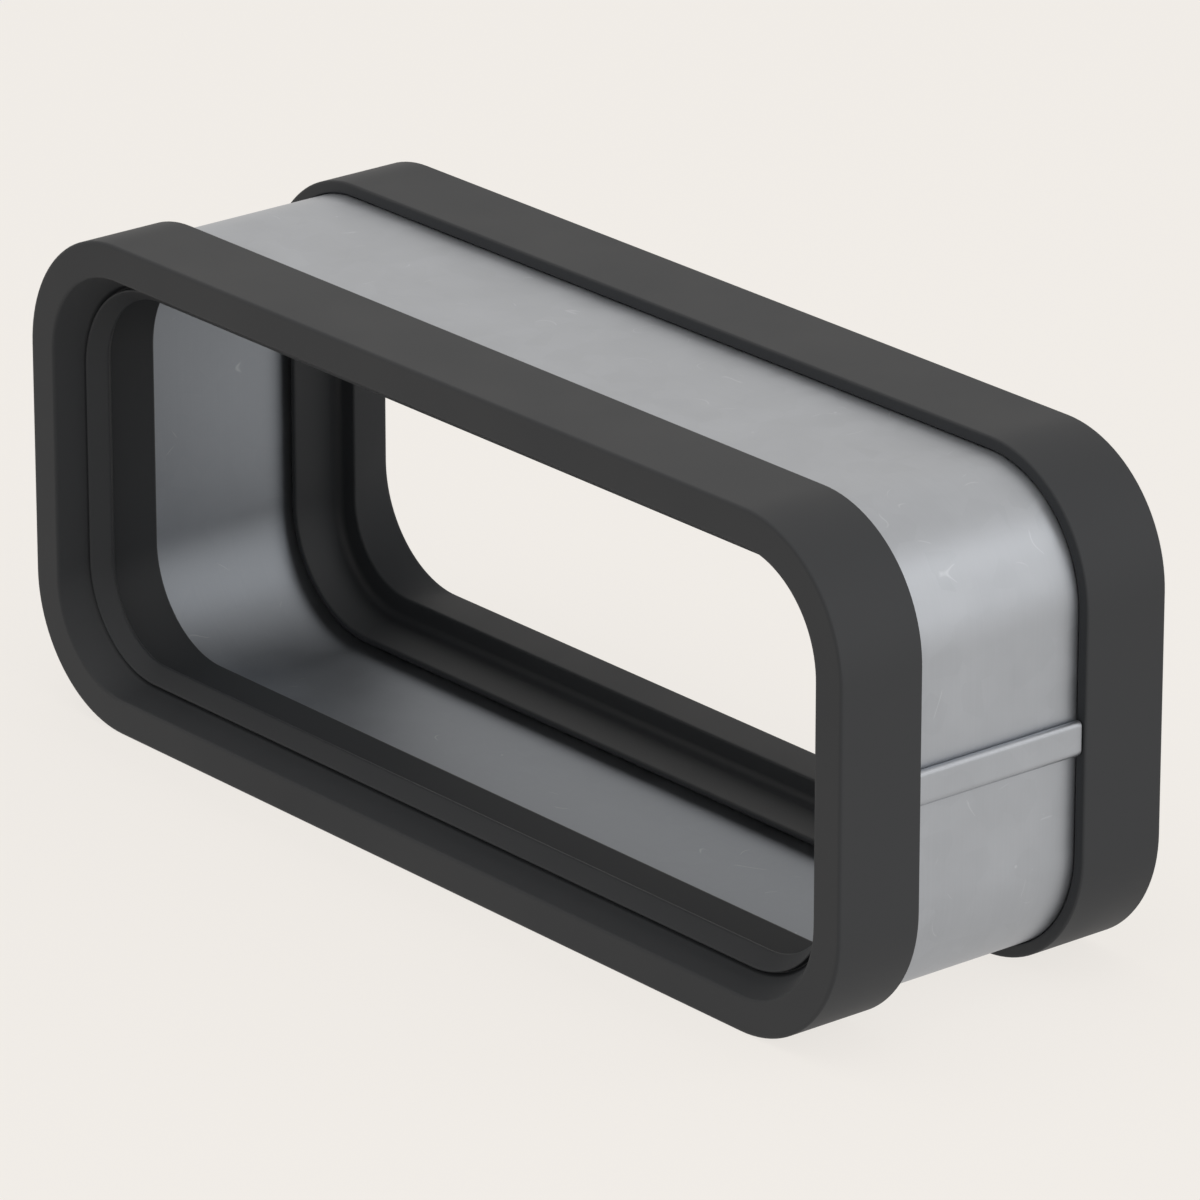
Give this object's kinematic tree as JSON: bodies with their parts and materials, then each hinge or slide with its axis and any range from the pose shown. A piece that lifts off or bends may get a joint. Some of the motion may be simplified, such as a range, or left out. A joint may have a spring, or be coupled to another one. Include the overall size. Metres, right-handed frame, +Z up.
{
  "type": "flat duct connector",
  "caption": "Straight connector for rectangular flat ducting: a galvanised steel sleeve with a lock seam and a moulded black rubber seal on each end.",
  "frame": {"origin": "middle of the connector, on the axis of the airway", "axes": "+X along the wide side, towards the lock seam; +Y along the airway, from the front mouth to the rear one; +Z up, away from the wide side that it stands on"},
  "size_m": [0.227, 0.073, 0.095],
  "materials": {
    "galvanised_steel": "bright galvanised sheet",
    "seal_rubber": "matt moulded rubber"
  },
  "bodies": {
    "root": {"sleeve": "galvanised_steel", "front_seal": "seal_rubber", "rear_seal": "seal_rubber"}
  },
  "joints": []
}
